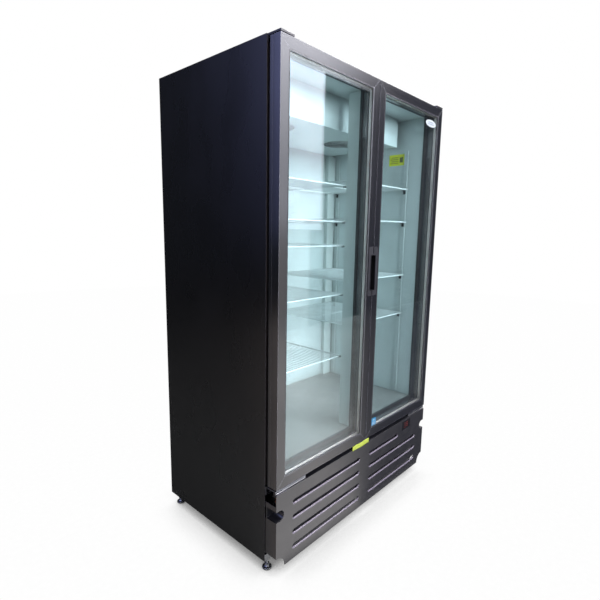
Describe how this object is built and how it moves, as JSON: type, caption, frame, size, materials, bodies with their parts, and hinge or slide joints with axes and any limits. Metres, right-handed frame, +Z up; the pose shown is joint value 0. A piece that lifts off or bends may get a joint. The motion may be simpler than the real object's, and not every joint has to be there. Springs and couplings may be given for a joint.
{
  "type": "glass door merchandiser",
  "caption": "Upright refrigerated display cabinet with hinged glass doors, wire shelves, a louvred lower grille and its cooling unit inside.",
  "frame": {"origin": "on the floor, under the middle of the cabinet's outer box", "axes": "+Z up, +Y from the doors to the back, +X from the left door to the right door; the doors face -Y"},
  "size_m": [1.2, 0.752, 2.02],
  "materials": {
    "black_enamel": "gloss",
    "galvanised": "satin",
    "foam": "matte",
    "white_enamel": "gloss",
    "black_strip": "satin",
    "white_plastic": "satin",
    "zinc": "satin",
    "black_clip": "matte",
    "white_wire": "gloss",
    "fin_aluminium": "satin",
    "motor_black": "satin",
    "fan_plastic": "satin",
    "diffuser": "satin",
    "copper": "satin",
    "black_frame": "satin",
    "clear_glass": "gloss",
    "spacer_metal": "satin",
    "black_gasket": "matte",
    "black_moulding": "satin",
    "grille_plastic": "satin",
    "display": "gloss",
    "cartridge": "satin",
    "clear_tube": "satin"
  },
  "bodies": {
    "cabinet": {"back_panel": "galvanised", "base_frame": "galvanised", "bottom_hinges": "zinc", "breaker_strips": "black_strip", "cabinet_liner": "white_enamel", "cabinet_screws": "zinc", "centre_mullion": "white_plastic", "compressor": "motor_black", "condensate_tray": "black_moulding", "condenser_coil": "fin_aluminium", "condenser_motor": "motor_black", "condenser_shroud": "galvanised", "control_display": "display", "drain_duct": "white_plastic", "drain_tube": "clear_tube", "electrical_box": "galvanised", "evaporator_coil": "fin_aluminium", "evaporator_cover": "white_enamel", "evaporator_motors": "motor_black", "filter_drier": "copper", "front_grille": "grille_plastic", "hinge_cartridges": "cartridge", "insulation_foam": "foam", "light_bars": "diffuser", "power_inlet": "black_moulding", "refrigerant_lines": "copper", "shelf_clips": "black_clip", "shelf_standards": "white_enamel", "side_panel_left": "black_enamel", "side_panel_right": "black_enamel", "top_hinges": "black_enamel", "top_panel": "black_enamel"},
    "left_door": {"door_frame_left": "black_frame", "outer_glass_left": "clear_glass", "inner_glass_left": "clear_glass", "glass_spacer_left": "spacer_metal", "door_gasket_left": "black_gasket", "handle_grip_left": "black_moulding"},
    "right_door": {"door_frame_right": "black_frame", "outer_glass_right": "clear_glass", "inner_glass_right": "clear_glass", "glass_spacer_right": "spacer_metal", "door_gasket_right": "black_gasket", "handle_grip_right": "black_moulding"},
    "left_shelf_1": {"wire_shelf_left_1": "white_wire"},
    "left_shelf_2": {"wire_shelf_left_2": "white_wire"},
    "left_shelf_3": {"wire_shelf_left_3": "white_wire"},
    "left_shelf_4": {"wire_shelf_left_4": "white_wire"},
    "left_shelf_5": {"wire_shelf_left_5": "white_wire"},
    "right_shelf_1": {"wire_shelf_right_1": "white_wire"},
    "right_shelf_2": {"wire_shelf_right_2": "white_wire"},
    "right_shelf_3": {"wire_shelf_right_3": "white_wire"},
    "right_shelf_4": {"wire_shelf_right_4": "white_wire"},
    "evaporator_rotor_left": {"evaporator_fan_left": "fan_plastic"},
    "evaporator_rotor_right": {"evaporator_fan_right": "fan_plastic"},
    "condenser_rotor": {"condenser_fan": "fan_plastic"},
    "foot_front_left": {"levelling_foot_front_left": "zinc"},
    "foot_front_right": {"levelling_foot_front_right": "zinc"},
    "foot_rear_left": {"levelling_foot_rear_left": "zinc"},
    "foot_rear_right": {"levelling_foot_rear_right": "zinc"}
  },
  "joints": [
    {"name": "left_door_hinge", "type": "hinge", "parent": "cabinet", "child": "left_door", "pos_m": [-0.578, -0.3505, 0.39], "axis": [0, 0, -1], "range_deg": [0, 110], "stiffness_Nm_per_rad": 2},
    {"name": "right_door_hinge", "type": "hinge", "parent": "cabinet", "child": "right_door", "pos_m": [0.578, -0.3505, 0.39], "axis": [0, 0, 1], "range_deg": [0, 110], "stiffness_Nm_per_rad": 2},
    {"name": "left_shelf_1_lift", "type": "slide", "parent": "cabinet", "child": "left_shelf_1", "axis": [0, 0, 1], "range_m": [0, 0.02]},
    {"name": "left_shelf_2_lift", "type": "slide", "parent": "cabinet", "child": "left_shelf_2", "axis": [0, 0, 1], "range_m": [0, 0.02]},
    {"name": "left_shelf_3_lift", "type": "slide", "parent": "cabinet", "child": "left_shelf_3", "axis": [0, 0, 1], "range_m": [0, 0.02]},
    {"name": "left_shelf_4_lift", "type": "slide", "parent": "cabinet", "child": "left_shelf_4", "axis": [0, 0, 1], "range_m": [0, 0.02]},
    {"name": "left_shelf_5_lift", "type": "slide", "parent": "cabinet", "child": "left_shelf_5", "axis": [0, 0, 1], "range_m": [0, 0.02]},
    {"name": "right_shelf_1_lift", "type": "slide", "parent": "cabinet", "child": "right_shelf_1", "axis": [0, 0, 1], "range_m": [0, 0.02]},
    {"name": "right_shelf_2_lift", "type": "slide", "parent": "cabinet", "child": "right_shelf_2", "axis": [0, 0, 1], "range_m": [0, 0.02]},
    {"name": "right_shelf_3_lift", "type": "slide", "parent": "cabinet", "child": "right_shelf_3", "axis": [0, 0, 1], "range_m": [0, 0.02]},
    {"name": "right_shelf_4_lift", "type": "slide", "parent": "cabinet", "child": "right_shelf_4", "axis": [0, 0, 1], "range_m": [0, 0.02]},
    {"name": "evaporator_fan_left_spin", "type": "hinge", "parent": "cabinet", "child": "evaporator_rotor_left", "pos_m": [-0.25, 0.018, 1.856], "axis": [0, 0, 1], "continuous": true},
    {"name": "evaporator_fan_right_spin", "type": "hinge", "parent": "cabinet", "child": "evaporator_rotor_right", "pos_m": [0.25, 0.018, 1.856], "axis": [0, 0, 1], "continuous": true},
    {"name": "condenser_fan_spin", "type": "hinge", "parent": "cabinet", "child": "condenser_rotor", "pos_m": [-0.265, -0.1848, 0.208], "axis": [0, 1, 0], "continuous": true},
    {"name": "foot_front_left_screw", "type": "hinge", "parent": "cabinet", "child": "foot_front_left", "pos_m": [-0.567, -0.292, 0.056], "axis": [0, 0, 1], "continuous": true},
    {"name": "foot_front_right_screw", "type": "hinge", "parent": "cabinet", "child": "foot_front_right", "pos_m": [0.567, -0.292, 0.056], "axis": [0, 0, 1], "continuous": true},
    {"name": "foot_rear_left_screw", "type": "hinge", "parent": "cabinet", "child": "foot_rear_left", "pos_m": [-0.567, 0.345, 0.056], "axis": [0, 0, 1], "continuous": true},
    {"name": "foot_rear_right_screw", "type": "hinge", "parent": "cabinet", "child": "foot_rear_right", "pos_m": [0.567, 0.345, 0.056], "axis": [0, 0, 1], "continuous": true}
  ]
}
